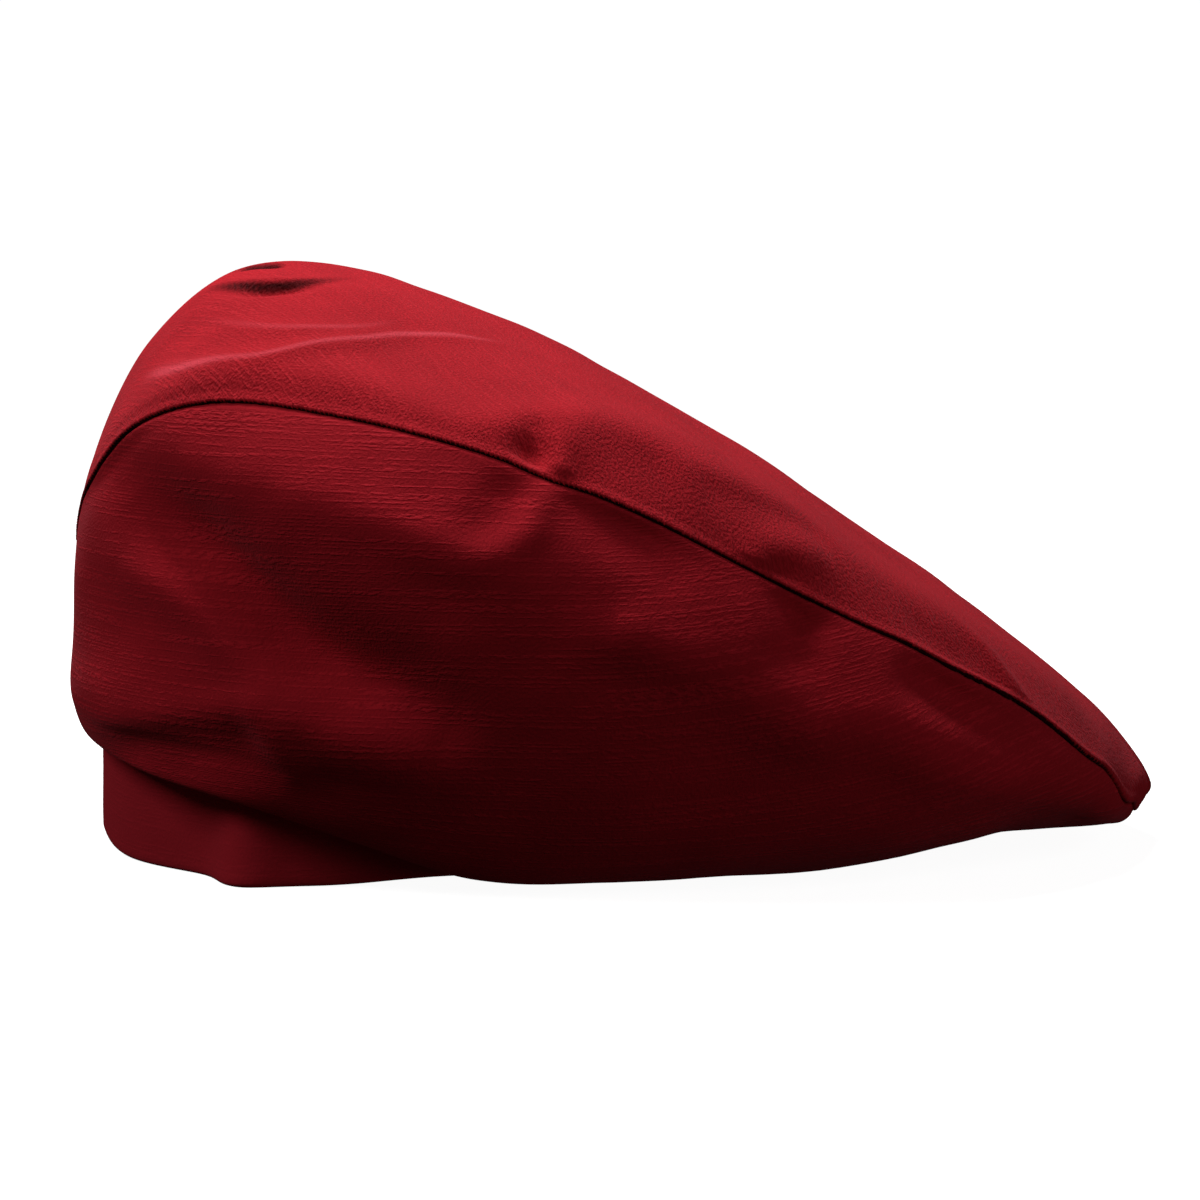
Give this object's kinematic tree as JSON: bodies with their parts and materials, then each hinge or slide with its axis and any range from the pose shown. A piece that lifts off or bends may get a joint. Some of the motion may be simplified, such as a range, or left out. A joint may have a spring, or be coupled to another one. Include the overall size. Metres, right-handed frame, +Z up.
{
  "type": "beret-style flat cap",
  "caption": "Soft twill cap with a long domed top, two side panels that fold over a plain headband, and an open head hollow.",
  "frame": {"origin": "on the table under the middle of the cap's box", "axes": "+X towards the low point of the crown, +Z up, -Y towards the right side"},
  "size_m": [0.2855, 0.2223, 0.1535],
  "materials": {
    "crown_twill": "matte crimson cotton twill",
    "band_twill": "matte crimson cotton twill"
  },
  "bodies": {
    "root": {"top_panel": "crown_twill", "side_panel_right": "crown_twill", "side_panel_left": "crown_twill", "headband": "band_twill"}
  },
  "joints": []
}
